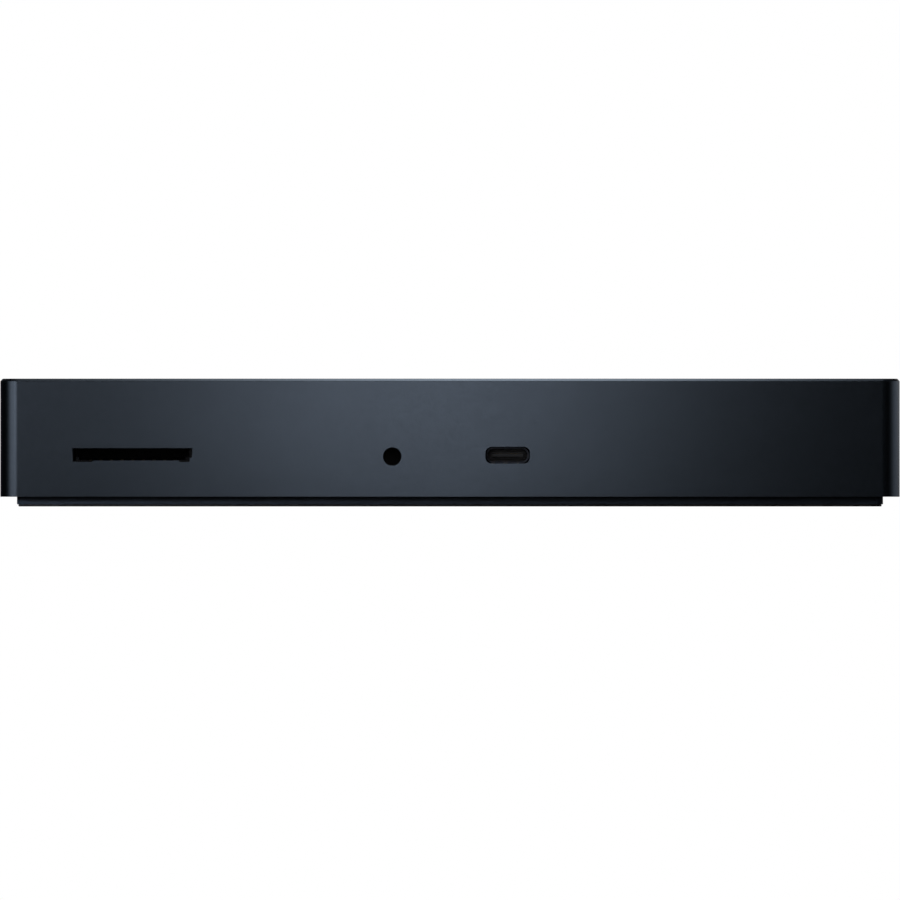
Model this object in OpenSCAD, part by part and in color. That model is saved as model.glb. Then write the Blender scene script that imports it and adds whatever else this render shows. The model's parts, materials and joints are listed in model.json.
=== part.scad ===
// Laptop docking station: a low machined aluminium body on a recessed plinth,
// with a card slot, a headset jack and a USB-C port in front and the
// display, data, network and power ports behind.
// Origin: centre of the footprint, on the table. X to the right, Y to the rear, Z up.

/* [Body] */
// Overall width
body_w = 190; // [189.4:0.1:191]
// Overall depth
body_d = 75; // [74.8:0.1:76]
// Height of the metal body from its lower rim to its top
body_h = 24.95; // [24.8:0.05:26]
// Radius of the body's upright corners
corner_r = 3.6; // [3.2:0.1:4]
// Bevel round the body's top edge
top_edge = 0.45; // [0.3:0.05:0.6]
// Thickness of the side walls
wall = 2.2; // [2.1:0.05:2.3]
// Thickness of the top
roof = 2.1; // [1.9:0.05:2.1]
// Metal left in front of a port where the wall is thinned from inside
skin = 0.9; // [0.8:0.05:1.1]

/* [Plinth] */
// Height of the plinth that shows under the body
plinth_h = 2.05; // [2:0.05:2.1]
// How far the plinth stands in from the body's sides
plinth_inset = 3.5; // [3.4:0.05:3.7]
// Radius of the plinth's corners
plinth_r = 1.3; // [1.1:0.1:1.5]
// Thickness of the rubber foot pad
pad_t = 0.45; // [0.4:0.05:0.5]

/* [Front ports] */
// Centre of the card slot
sd_x = -67.23; // [-68:0.01:-66.5]
// Width of the card slot
sd_w = 25.2; // [25:0.1:25.4]
// Centre of the headset jack
audio_x = -12.18; // [-12.6:0.01:-11.8]
// Height of the headset jack's axis
audio_z = 10.53; // [10.4:0.01:10.7]
// Radius of the hole in the body for the headset jack
audio_hole_r = 1.88; // [1.85:0.01:1.95]
// Centre of the front USB-C port
usbc_x = 12.2; // [11.8:0.01:12.6]
// Height of the USB-C ports' centre
usbc_z = 10.81; // [10.75:0.01:10.9]

/* [Rear ports] */
// Centres of the three USB-C ports
rear_c_x = [24, 39, 54];
// Centres of the three USB-A ports
rear_a_x = [-62, -43, -24];
// Centre of the network port
lan_x = 2; // [1.5:0.1:2.5]
// Centre of the power port
dc_x = 72; // [71.5:0.1:72.5]

/* [Card ejector] */
// Position of the card slider along its travel, 0 is out
slider_at = 0; // [0:0.5:4]

/* [Hidden] */

front = -body_d / 2;
rear = body_d / 2;
inner_w = body_w - 2 * wall;
inner_d = body_d - 2 * wall;
rim = plinth_h;                      // lower rim of the metal body
body_top = rim + body_h;
ceiling = body_top - roof;           // underside of the top
cover_bottom = 2.3;                  // base cover's plate
cover_t = 1.8;
cover_top = cover_bottom + cover_t;
board_bottom = 7.5;                  // circuit board
board_top = 9.1;
overlap = 0.01;                      // joins stacked parts of one solid

front_relief_x = [-84, 20];          // stretches where the walls are thinned
rear_relief_x = [-71.5, 79.5];
port_gap = 0.1;                      // between a port's mouth and the thinned wall
front_port_y = front + skin + port_gap;
rear_port_y = -front_port_y;
usba_z = 12.3;                       // centre of the USB-A openings
dc_z = board_top + 6.5;              // axis of the power port

// Places on the plan, [x, y]
base_screw_at = [[-82, 24], [-11.7, 24], [82, 24], [-44, -24], [25, -24], [82, -24]];
board_screw_at = [[-87, 6], [87, 2], [-34, -29.5], [50, -29.5], [-74, 27], [63, 28]];
hub_at = [45, -1];
spreader_screw_at = [for (sx = [-1, 1], sy = [-1, 1]) hub_at + [sx * 24, sy * 13]];
led_cable_x = -60;

// Colours that several nodes share
black = [0.03, 0.03, 0.03];
dark_plastic = [0.04, 0.04, 0.045];
gold = [0.85, 0.68, 0.3];
screw_steel = [0.6, 0.6, 0.62];
usb_c_steel = [0.45, 0.46, 0.48];
thermal_blue = [0.55, 0.6, 0.7];

// ---------- shared shapes ----------
// In loops, sx, sy and sz are the signs of mirrored places.

// Rounded rectangle about the origin
module rounded_rect(width, depth, radius) {
  square([width - 2 * radius, depth], center = true);
  square([width, depth - 2 * radius], center = true);
  for (sx = [-1, 1], sy = [-1, 1])
    translate([sx * (width / 2 - radius), sy * (depth / 2 - radius)])
      circle(r = radius, $fn = 64);
}
module rounded_block(width, depth, radius, z0, z1)
  translate([0, 0, z0]) linear_extrude(z1 - z0) rounded_rect(width, depth, radius);

// A block given by its lowest and highest corners
module block(low, high) translate(low) cube(high - low);

// A block centred on a place of the plan, between two heights
module slab(at, size, z0, z1)
  translate([at[0] - size[0] / 2, at[1] - size[1] / 2, z0]) cube([size[0], size[1], z1 - z0]);

// A flat XZ outline pushed along +Y from y0 to y1
module along_y(x, z, y0, y1)
  translate([x, y1, z]) rotate([90, 0, 0]) linear_extrude(y1 - y0) children();

// A round bar along Y
module bar_y(x, z, radius, y0, y1)
  translate([x, y1, z]) rotate([90, 0, 0]) cylinder(r = radius, h = y1 - y0, $fn = 64);

// An upright cylinder at a place of the plan
module upright(at, radius, z0, height, sides = 32)
  translate([at[0], at[1], z0]) cylinder(r = radius, h = height, $fn = sides);

// A straight groove cutter between two points, with round ends
module groove(start, end, radius, z0, z1) {
  run = end - start;
  translate([start[0], start[1], z0]) {
    cylinder(r = radius, h = z1 - z0, $fn = 32);
    rotate([0, 0, atan2(run[1], run[0])])
      translate([0, -radius, 0]) cube([norm(run), 2 * radius, z1 - z0]);
  }
  upright(end, radius, z0, z1 - z0);
}

// Place a port drawn with its mouth at y = 0, facing -Y
module front_port(x, z) translate([x, front_port_y, z]) children();
module rear_port(x, z) translate([x, rear_port_y, z]) rotate([0, 0, 180]) children();

// ---------- body ----------

// Section of the bevelled layer under the top face
module bevel_section(width)
  polygon([
    [-width / 2, 0], [width / 2, 0],
    [width / 2 - top_edge, top_edge], [-width / 2 + top_edge, top_edge]
  ]);

// Outer form: upright rounded block with a bevel round the top
module body_outer() {
  corner_x = body_w / 2 - corner_r;
  corner_y = body_d / 2 - corner_r;
  rounded_block(body_w, body_d, corner_r, rim, body_top - top_edge);
  translate([0, 0, body_top - top_edge]) {
    for (sx = [-1, 1], sy = [-1, 1])
      translate([sx * corner_x, sy * corner_y, 0])
        cylinder(r1 = corner_r, r2 = corner_r - top_edge, h = top_edge, $fn = 96);
    translate([-corner_x, 0, 0]) rotate([90, 0, 90])
      linear_extrude(2 * corner_x) bevel_section(body_d);
    translate([0, corner_y, 0]) rotate([90, 0, 0])
      linear_extrude(2 * corner_y) bevel_section(body_w);
  }
}

card_floor_z = 9.55;   // lowest edge of the card slot and the socket's floor there

// Card slot outline: a slot with shallow reliefs at both ends of its lower edge
// and a guide step in the lower right corner
module sd_outline() difference() {
  union() {
    translate([-sd_w / 2, 9.86]) square([sd_w, 2.48]);
    translate([-sd_w / 2, card_floor_z])
      polygon([[0, 0], [4.0, 0], [4.45, 0.32], [4.45, 0.5], [0, 0.5]]);
    translate([sd_w / 2 - 2.85, card_floor_z])
      polygon([[0.25, 0], [2.85, 0], [2.85, 0.5], [0, 0.5], [0, 0.32]]);
  }
  translate([sd_w / 2 - 0.5, 9.3]) square([0.6, 1.13]);
}

module usb_c_outline() rounded_rect(9.3, 3.42, 1.3);

module front_cutouts() {
  y0 = front - 1;
  y1 = front + wall + 0.5;
  along_y(sd_x, 0, y0, y1) sd_outline();
  bar_y(audio_x, audio_z, audio_hole_r, y0, y1);
  along_y(usbc_x, usbc_z, y0, y1) usb_c_outline();
}

module rear_cutouts() {
  y0 = rear - wall - 0.5;
  y1 = rear + 1;
  for (x = rear_c_x) along_y(x, usbc_z, y0, y1) usb_c_outline();
  for (x = rear_a_x) along_y(x, usba_z, y0, y1) rounded_rect(13.5, 6.1, 0.5);
  along_y(lan_x, 15.75, y0, y1) rounded_rect(13.6, 11.8, 0.6);
  bar_y(dc_x, dc_z, 4.05, y0, y1);
}

// Security slot in the left side
module security_slot()
  translate([-body_w / 2 - 1, 14, 13]) rotate([90, 0, 90])
    linear_extrude(wall + 2) rounded_rect(7, 3, 0.6);

// Post that hangs from the top, with a screw hole from below
module post(at, z0, hole_depth) difference() {
  upright(at, 3, z0, ceiling + 0.3 - z0, 48);
  upright(at, 1.27, z0 - 1, hole_depth + 1);
}

module housing() color([0.11, 0.13, 0.16]) {
  difference() {
    body_outer();
    // hollow
    rounded_block(inner_w, inner_d, 1.4, rim - 1, ceiling);
    // walls thinned behind the ports, open downwards so the board can be lifted in
    block([front_relief_x[0], front + skin, rim - 1], [front_relief_x[1], 0, 14.6]);
    block([rear_relief_x[0], 0, rim - 1], [rear_relief_x[1], rear - skin, 23]);
    front_cutouts();
    rear_cutouts();
    security_slot();
  }
  for (at = base_screw_at) post(at, cover_top, 6.5);
  for (at = board_screw_at) post(at, board_top, 6);
}

// ---------- base ----------

ring_w = body_w - 2 * plinth_inset;   // light guide ring
ring_d = body_d - 2 * plinth_inset;
ring_t = 3;
deck_w = ring_w - 2 * ring_t - 5;     // platform inside the light channel
deck_d = ring_d - 2 * ring_t - 5;
cover_gap = 0.15;                     // between the cover and the body
cover_w = inner_w - 2 * cover_gap;
cover_d = inner_d - 2 * cover_gap;
lug_d = 5;
rib_t = 1.2;
cable_hole_r = 3.5;                   // half width of the light cable's openings
post_hole_r = 3.4;                    // clearance round the base screws' posts

module foot_pad() color([0.05, 0.05, 0.055]) difference() {
  rounded_block(ring_w - 0.6, ring_d - 0.6, plinth_r - 0.1, 0, pad_t);
  // shallow anti-slip groove round the underside
  difference() {
    rounded_block(ring_w - 12, ring_d - 12, 2.2, -1, 0.15);
    rounded_block(ring_w - 14, ring_d - 14, 1.6, -2, 1);
  }
}

module light_guide() color([0.10, 0.11, 0.13, 0.9]) difference() {
  rounded_block(ring_w, ring_d, plinth_r, pad_t, cover_bottom);
  rounded_block(ring_w - 2 * ring_t, ring_d - 2 * ring_t, 0.8, pad_t - 1, cover_bottom + 1);
}

// Lugs that close the thinned walls from below
module cover_lugs() {
  block([front_relief_x[0] + cover_gap, front + skin + cover_gap, cover_bottom],
    [front_relief_x[1] - cover_gap, front + skin + lug_d, cover_top]);
  block([rear_relief_x[0] + cover_gap, rear - skin - lug_d, cover_bottom],
    [rear_relief_x[1] - cover_gap, rear - skin - cover_gap, cover_top]);
}

// Plate and deck; the moulding's wall is even, so the deck is hollow from above
module cover_shell() difference() {
  union() {
    rounded_block(cover_w, cover_d, 1.25, cover_bottom, cover_top);
    rounded_block(deck_w, deck_d, 1.5, pad_t, cover_bottom + 0.1);
    cover_lugs();
  }
  rounded_block(deck_w - 2 * cover_t, deck_d - 2 * cover_t, 0.8, pad_t + cover_t, cover_top + 1);
}

// Stiffening rib just inside the walls
module cover_rim_rib() difference() {
  rounded_block(cover_w, cover_d, 1.25, cover_top - 0.1, 5.6);
  rounded_block(cover_w - 2 * rib_t, cover_d - 2 * rib_t, 0.6, cover_top - 1, 6);
}

module deck_ribs() {
  for (x = [-64, -28, 6, 44, 66]) slab([x, 0], [rib_t, deck_d - 2], pad_t + 1, cover_top);
  slab([0, 0], [deck_w - 2, rib_t], pad_t + 1, cover_top);
}

// Countersunk hole cutter
module base_screw_hole() {
  translate([0, 0, -1]) cylinder(r = 1.4, h = 8, $fn = 32);
  cylinder(r = 2.45, h = 0.8, $fn = 48);
  translate([0, 0, 0.8 - overlap]) cylinder(r1 = 2.45, r2 = 1.4, h = 1.25, $fn = 48);
}

module base_cover() color([0.045, 0.047, 0.05]) difference() {
  union() {
    cover_shell();
    cover_rim_rib();
    deck_ribs();
    // seats round the screws
    for (at = base_screw_at) upright(at, 4, pad_t, cover_top - pad_t, 48);
  }
  for (at = base_screw_at) translate([at[0], at[1], 0]) base_screw_hole();
  // opening for the light cable
  block([led_cable_x - cable_hole_r, 28.7, -1], [led_cable_x + cable_hole_r, 31.2, 8]);
}

module countersunk_screw(length, head_h = 1.2) difference() {
  union() {
    cylinder(r1 = 2.35, r2 = 1.25, h = head_h, $fn = 48);
    translate([0, 0, head_h - overlap])
      cylinder(r = 1.25, h = length - head_h + overlap, $fn = 32);
  }
  // six-sided drive socket
  translate([0, 0, -1]) cylinder(r = 0.85, h = 1.7, $fn = 6);
}
module base_screws() color([0.3, 0.3, 0.32])
  for (at = base_screw_at) translate([at[0], at[1], 0.82]) countersunk_screw(8.4);

module insulator_sheet() color(black) difference() {
  translate([0, 0, cover_top]) linear_extrude(0.2) square([178, 62], center = true);
  for (at = base_screw_at) upright(at, post_hole_r, 0, 10, 48);
  block([led_cable_x - cable_hole_r, 28.4, 0], [led_cable_x + cable_hole_r, 33, 8]);
}

// ---------- lights ----------

led_pitch = 13;
led_l = 3.8;             // length of a light along its strip
led_t = 1;
led_bottom = 0.85;
led_top = 1.7;           // underside of the strips that carry the lights

module led_boards() color([0.85, 0.85, 0.82]) {
  for (sy = [-1, 1]) slab([0, sy * 29.75], [164, 2.2], led_top, cover_bottom);
  for (sx = [-1, 1]) slab([sx * 87.25, 0], [2.2, 48], led_top, cover_bottom);
}
module leds() color([0.95, 0.93, 0.8]) {
  for (i = [-6:6], sy = [-1, 1])
    slab([i * led_pitch, sy * 30.1], [led_l, led_t], led_bottom, led_top);
  for (i = [0:3], sx = [-1, 1])
    slab([sx * 87.6, (i - 1.5) * led_pitch], [led_t, led_l], led_bottom, led_top);
}
module led_header() color([0.9, 0.88, 0.8]) difference() {
  block([led_cable_x - 3.4, 15, 5.3], [led_cable_x + 3.4, 19.6, board_bottom]);
  block([led_cable_x - 2.8, 17, 5.7], [led_cable_x + 2.8, 20, 7.1]);
}

wire_colors = [[0.7, 0.1, 0.1], [0.1, 0.5, 0.15], [0.1, 0.2, 0.6], [0.1, 0.1, 0.1]];
wire_pitch = 1.4;
wire_r = 0.4;
wire_bend_r = 0.9;
wire_start_y = 17.1;     // inside the header
wire_drop_y = 29.9;      // where the wires run down to the lights
wire_z = 6.4;

// One wire: rearwards from the header, then bent down to the strip
module led_wire(x) {
  bend_y = wire_drop_y - wire_bend_r;
  bend_z = wire_z - wire_bend_r;
  translate([x, wire_start_y, wire_z]) rotate([-90, 0, 0])
    cylinder(r = wire_r, h = bend_y - wire_start_y, $fn = 24);
  translate([x, bend_y, bend_z]) rotate([90, 0, 90])
    rotate_extrude(angle = 90, $fn = 48) translate([wire_bend_r, 0]) circle(r = wire_r, $fn = 24);
  upright([x, wire_drop_y], wire_r, cover_bottom, bend_z - cover_bottom, 24);
}
module led_cable()
  for (i = [0:3]) color(wire_colors[i]) led_wire(led_cable_x + (i - 1.5) * wire_pitch);

// ---------- circuit board ----------

board_w = 182.4;
board_d = 68.4;

module main_board() color([0.04, 0.07, 0.06])
  translate([0, 0, board_bottom]) linear_extrude(board_top - board_bottom) difference() {
    square([board_w, board_d], center = true);
    for (at = base_screw_at) translate(at) circle(r = post_hole_r, $fn = 48);
    for (at = board_screw_at) translate(at) circle(r = 1.4, $fn = 32);
    for (at = spreader_screw_at) translate(at) circle(r = 1.1, $fn = 32);
    // the headset jack is sunk into the board's front edge
    translate([audio_x, -28.4]) square([6.6, 12.6], center = true);
    // corner cut-outs
    for (sx = [-1, 1], sy = [-1, 1])
      translate([sx * board_w / 2, sy * board_d / 2]) square([5, 5], center = true);
  }

// Flat-headed screw put in from below, its head against the board's underside
module board_screw(at, shank_r, head_r, head_h, shank_l)
  translate([at[0], at[1], board_bottom - head_h]) difference() {
    union() {
      cylinder(r = head_r, h = head_h, $fn = 48);
      translate([0, 0, head_h - overlap]) cylinder(r = shank_r, h = shank_l, $fn = 32);
    }
    translate([0, 0, -1]) cylinder(r = shank_r * 0.65, h = 1 + head_h * 0.6, $fn = 6);
  }
module board_screws() color(screw_steel)
  for (at = board_screw_at) board_screw(at, shank_r = 1.25, head_r = 2.3, head_h = 1.5, shank_l = 6.2);

// A block that stands on the board
module on_board(at, size, height) slab(at, size, board_top, board_top + height);

// Chip with a slightly smaller upper part
module chip(at, size, height) {
  step_z = board_top + height * 0.45;
  slab(at, size, board_top, step_z);
  slab(at, size - [0.5, 0.5], step_z - overlap, board_top + height);
}

hub_h = 1.2;
module hub_controller() color([0.06, 0.06, 0.07]) chip(hub_at, [14, 14], hub_h);

// Place, size on the plan, height
logic_chip_list = [
  [[9, 8], [9, 9], 0.9],       // network controller
  [[-47, 6], [7, 7], 0.9],     // hub for the USB-A ports
  [[-66, 1.5], [6, 6], 0.9],   // card reader
  [[-14, -19], [5, 5], 0.8],   // audio codec
  [[14, -18], [5, 5], 0.8],    // port power controller
  [[76, -8], [6, 6], 0.9],     // charger controller
  [[2, -8], [4, 5], 0.8],      // firmware memory
  [[68, 3], [5, 4], 0.8]       // display converter
];
module logic_chips() color([0.07, 0.07, 0.08])
  for (part = logic_chip_list) chip(part[0], part[1], part[2]);

spreader_bottom = 11;
roof_pad_t = 1;
spreader_top = ceiling - roof_pad_t;
top_plate_z = spreader_top - 1.5;    // underside of the spreader's top plate
base_plate_z = spreader_bottom + 2;  // top of its base plate
fin_d = 30;

module controller_thermal_pad() color(thermal_blue)
  slab(hub_at, [13.6, 13.6], board_top + hub_h, spreader_bottom);
module roof_thermal_pad() color(thermal_blue)
  slab(hub_at, [48, 28], spreader_top, ceiling);
module heat_spreader() color([0.75, 0.76, 0.78]) difference() {
  union() {
    slab(hub_at, [54, 32], spreader_bottom, base_plate_z);
    slab(hub_at, [54, fin_d], top_plate_z, spreader_top);
    // fins between the plates
    for (i = [-4:4])
      slab(hub_at + [i * 5, 0], [1.2, fin_d], base_plate_z - 0.1, top_plate_z + 0.1);
    // legs that take the screws
    for (at = spreader_screw_at) upright(at, 2.3, board_top, 2.5, 48);
  }
  for (at = spreader_screw_at) upright(at, 1.02, board_top - 1, 4);
}
module heat_spreader_screws() color(screw_steel)
  for (at = spreader_screw_at) board_screw(at, shank_r = 1, head_r = 1.9, head_h = 1.2, shank_l = 4.6);

shield_at = [-26, -6];
shield_size = [24, 18];
module shield_frame() color([0.7, 0.7, 0.68]) difference() {
  on_board(shield_at, shield_size, 1.6);
  slab(shield_at, shield_size - [0.8, 0.8], board_top - 1, board_top + 3);
}
module shield_can() color([0.78, 0.78, 0.76]) difference() {
  slab(shield_at, shield_size + [0.6, 0.6], board_top + 0.25, board_top + 3.2);
  slab(shield_at, shield_size + [0.04, 0.04], board_top - 1, board_top + 2.95);
  // grid of holes in the lid
  for (i = [-4:4], j = [-2:2]) upright(shield_at + 2.2 * [i, j], 0.45, board_top + 2, 3, 24);
}

inductor_at = [[84, -14], [76, -18.5], [66, -22], [9, -4], [-3, 3]];
module power_inductors() color([0.25, 0.25, 0.27])
  for (at = inductor_at) on_board(at, [6.6, 6.6], 3.6);

capacitor_at = [
  [60, 20], [68, 19], [84, 12], [-27, 9], [-35, 9],
  [-12.5, 8], [14, -12], [-46.5, -5], [-84, -20], [-86, -12]
];
module polymer_capacitors() color([0.75, 0.75, 0.78])
  for (at = capacitor_at) {
    on_board(at, [5.2, 5.2], 0.9);
    upright(at, 2.5, board_top + 0.9 - overlap, 4.9, 48);
  }

transistor_at = [
  [76, 2.5], [82.5, -2], [58, -20], [58, -27], [0, -16], [6, -14], [-40, 17], [-24, 17]
];
module power_transistors() color([0.08, 0.08, 0.09])
  for (at = transistor_at) on_board(at, [3.2, 3], 0.9);

// Rows of small parts: count, lowest corner of the first, step, size
chip_part_rows = [
  [8, [33, 18.5], [3, 0], [1.6, 0.8, 0.8]],
  [6, [-6, 14.3], [2.6, 0], [0.9, 0.7, 0.5]],
  [7, [-60, 13.6], [2.6, 0], [1.6, 0.8, 0.8]],
  [6, [-83.4, -5], [0, 2.2], [1.6, 0.8, 0.8]],
  [5, [4, -24.4], [2.4, 0], [1, 0.5, 0.5]],
  [6, [31, -21.5], [2.8, 0], [1.6, 0.8, 0.8]]
];
module chip_parts() color([0.6, 0.52, 0.42])
  for (row = chip_part_rows, i = [0:row[0] - 1])
    let (corner = row[1] + i * row[2])
      translate([corner[0], corner[1], board_top]) cube(row[3]);

module crystals() color([0.8, 0.8, 0.8])
  for (at = [[25, 13], [-53, 8.5], [0, 9.5]]) on_board(at, [3.2, 2.5], 0.8);
module network_transformer() color([0.05, 0.05, 0.05])
  on_board([-10.4, 16.8], [7.2, 7.2], 4);

// ---------- card socket ----------

// The socket's x values are measured from the centre of the card slot
mouth = front_port_y;        // mouth of the socket, against the thinned wall
socket_rear = -3.9;
socket_left = -13.5;
socket_right = 15.1;
socket_top = 12.5;           // top of the socket's walls
card_half_w = 12.22;         // half width of the card channel
guide_top = 10.42;           // top of the low guide steps
rod_pivot = [-54.2, -4.55];  // rear end of the lock rod
rod_tip = [-54.2, -19];      // its front end, in the slider's cam track

function sd_contact_x(i) = sd_x - 9.1 + i * 2.25;

module sd_block(low, high) translate([sd_x, 0, 0]) block(low, high);

module sd_socket_base() color([0.05, 0.05, 0.05]) difference() {
  union() {
    // floor
    sd_block([socket_left, mouth, board_top], [socket_right, socket_rear, card_floor_z]);
    sd_block([socket_left, mouth + 1.2, board_top], [socket_right, socket_rear, 9.8]);
    // left wall with its guide step
    sd_block([socket_left, mouth, board_top], [-card_half_w, socket_rear, socket_top]);
    sd_block([-11.75, mouth, board_top], [-11.1, socket_rear, guide_top]);
    // right guide at the mouth
    sd_block([card_half_w, mouth, board_top], [socket_right, -27.2, socket_top]);
    sd_block([card_half_w - 0.75, mouth, board_top], [card_half_w + 0.1, -27.2, guide_top]);
    // outer wall of the slider's channel
    sd_block([14.55, -28, board_top], [socket_right, socket_rear, socket_top]);
    // rear wall
    sd_block([socket_left, -5.2, board_top], [socket_right, socket_rear, socket_top]);
  }
  // pockets that the contacts lie in
  for (i = [0:8]) slab([sd_contact_x(i), -12], [1, 8], 9.4, 10);
  // rear wall notch and socket for the lock rod
  block([rod_pivot[0] - 0.4, -6, 11.5], [rod_pivot[0] + 0.4, socket_rear + 1, 13]);
  upright(rod_pivot, 0.25, 10, 3);
}
module sd_contacts() color(gold)
  for (i = [0:8]) {
    slab([sd_contact_x(i), -12], [0.7, 7.6], 9.45, 9.65);
    slab([sd_contact_x(i), -13.4], [0.7, 1.6], 9.65 - overlap, 9.85);
  }
module sd_socket_cover() color([0.72, 0.73, 0.74]) difference() {
  sd_block([socket_left - 0.25, mouth + 0.3, board_top + 0.1],
    [socket_right + 0.25, socket_rear, socket_top + 0.25]);
  sd_block([socket_left - 0.02, mouth - 1, board_top - 1],
    [socket_right + 0.02, socket_rear + 1, socket_top + 0.02]);
  // two windows over the card and one over the slider
  sd_block([-9, -30, 12], [-3, -22, 13]);
  sd_block([1, -30, 12], [7, -22, 13]);
  sd_block([12.9, -23.5, 12], [14.3, -17, 13]);
  // reliefs along the lower edges of both sides
  for (y = [-30, -18, -8]) sd_block([-14, y, board_top - 1], [16, y + 2.2, board_top + 1.2]);
}

// Card slider: carries the card's leading corner, with a cam track on top
slider_rear = -9.5;
slider_top = 11.5;
// Corners of the cam track: out along the push lane, back along the return lane
cam_track = [rod_tip, rod_tip + [0.35, -4], rod_tip + [0.85, -2.6]];

module sd_slider() color([0.9, 0.88, 0.82]) translate([0, slider_at, 0]) difference() {
  union() {
    block([-54.75, -25, 9.85], [-52.8, slider_rear, slider_top]);
    // arm in front of the card's chamfered corner
    block([-58.6, -11, 10.5], [-54.7, slider_rear, slider_top]);
    block([-56.6, -12.6, 10.5], [-54.7, -10.9, slider_top]);
  }
  // seat for the spring
  block([-54.0, -16.5, 9], [-52, slider_rear + 1, 11.38]);
  for (i = [0:2]) groove(cam_track[i], cam_track[(i + 1) % 3], 0.31, 10.9, 12);
}

// Lock rod: a wire along Y with both ends turned down
module sd_lock_rod() color([0.75, 0.76, 0.78]) {
  rod_r = 0.19;
  rod_z = 11.75;
  // place and lower end of each turned-down leg
  for (leg = [[rod_pivot, 10.4], [rod_tip, 11.05]]) {
    upright(leg[0], rod_r, leg[1], rod_z - leg[1]);
    translate([leg[0][0], leg[0][1], rod_z]) sphere(r = rod_r + 0.005, $fn = 32);
  }
  translate([rod_pivot[0], rod_pivot[1], rod_z]) rotate([90, 0, 0])
    cylinder(r = rod_r, h = rod_pivot[1] - rod_tip[1], $fn = 32);
}

// Coil of round wire as one closed skin
module coil(radius, wire, length, turns, per_turn = 14, sides = 6) {
  steps = turns * per_turn;
  // points ring by ring: i runs along the coil, j round the wire
  points = [
    for (i = [0:steps], j = [0:sides - 1])
      let (turn = 360 * i / per_turn, around = 360 * j / sides, reach = radius + wire * cos(around))
        [reach * cos(turn), reach * sin(turn), length * i / steps + wire * sin(around)]
  ];
  faces = concat(
    [[for (j = [0:sides - 1]) j]],
    [for (i = [0:steps - 1], j = [0:sides - 1]) let (k = (j + 1) % sides)
      [i * sides + j, (i + 1) * sides + j, (i + 1) * sides + k, i * sides + k]],
    [[for (j = [sides - 1:-1:0]) steps * sides + j]]
  );
  polyhedron(points = points, faces = faces, convexity = 10);
}
module sd_slider_spring() color([0.7, 0.71, 0.73])
  translate([-53.38, -5.32, 10.64]) rotate([90, 0, 0])
    coil(radius = 0.44, wire = 0.1, length = 10.96, turns = 10);

// ---------- headset jack ----------

// Side (-1 left, 1 right) and front edge of each contact's slot
audio_contact_list = [[-1, -33], [1, -30.5], [-1, -28], [1, -26]];

// A block on one side of the jack's axis; x, y and z are ranges, x outwards from the axis
module jack_block(side, x, y, z)
  block([audio_x + min(side * x), y[0], z[0]], [audio_x + max(side * x), y[1], z[1]]);

module audio_jack_body() color(dark_plastic) difference() {
  union() {
    block([audio_x - 3.1, front_port_y, audio_z - 2.5], [audio_x + 3.1, -22.6, audio_z + 2.5]);
    // ears that sit on the board
    block([audio_x - 4.6, -33.5, board_top], [audio_x + 4.6, -24, board_top + 0.9]);
  }
  bar_y(audio_x, audio_z, 1.8, front_port_y - 1, -23.4);
  for (slot = audio_contact_list)
    jack_block(slot[0], [0, 4], [slot[1], slot[1] + 1.2], [audio_z - 0.6, audio_z + 0.6]);
}

// Spring blade in its slot, then a strip down, out over the ear and down to the board
module audio_contact(side, y) {
  foot_bottom = board_top + 0.92;
  foot_top = board_top + 1.12;
  jack_block(side, [2.1, 3.3], y, [audio_z - 0.5, audio_z + 0.5]);
  jack_block(side, [3.15, 3.4], y, [foot_bottom, audio_z + 0.3]);
  jack_block(side, [3.15, 5.6], y, [foot_bottom, foot_top]);
  jack_block(side, [5.4, 5.6], y, [board_top, foot_top]);
}
module audio_jack_contacts() color([0.85, 0.7, 0.35])
  for (slot = audio_contact_list) audio_contact(slot[0], [slot[1] + 0.1, slot[1] + 1.1]);

// ---------- USB-C ----------

// All ports below are drawn facing -Y with the mouth at y = 0.
// Here x = 0, z = 0 is the centre of the opening.
usb_c_l = 8.6;

module c_shell() difference() {
  along_y(0, 0, 0, usb_c_l) rounded_rect(8.94, 3.26, 1.5);
  along_y(0, 0, -1, usb_c_l + 1) rounded_rect(8.34, 2.66, 1.2);
  // flared mouth
  along_y(0, 0, -1, 0.35) rounded_rect(8.6, 2.92, 1.32);
}
// Tongue, thickened in two steps towards its root
module c_tongue() {
  along_y(0, 0, 1.3, usb_c_l) rounded_rect(6.69, 0.7, 0.2);
  along_y(0, 0, 5.2, usb_c_l) rounded_rect(7.6, 1.7, 0.5);
  along_y(0, 0, 6.3, usb_c_l) rounded_rect(8.3, 2.62, 1.18);
}
module c_contacts()
  for (i = [0:11], sz = [-1, 1])
    slab([(i - 5.5) * 0.5, 3.45], [0.26, 3.4], sz * 0.38 - 0.03, sz * 0.38 + 0.03);

module front_c() front_port(usbc_x, usbc_z) children();
module rear_c() for (x = rear_c_x) rear_port(x, usbc_z) children();

module front_usb_c_shell() color(usb_c_steel) front_c() c_shell();
module front_usb_c_tongue() color(black) front_c() c_tongue();
module front_usb_c_contacts() color(gold) front_c() c_contacts();
module rear_usb_c_shells() color(usb_c_steel) rear_c() c_shell();
module rear_usb_c_tongues() color(black) rear_c() c_tongue();
module rear_usb_c_contacts() color(gold) rear_c() c_contacts();

// ---------- USB-A ----------

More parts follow.
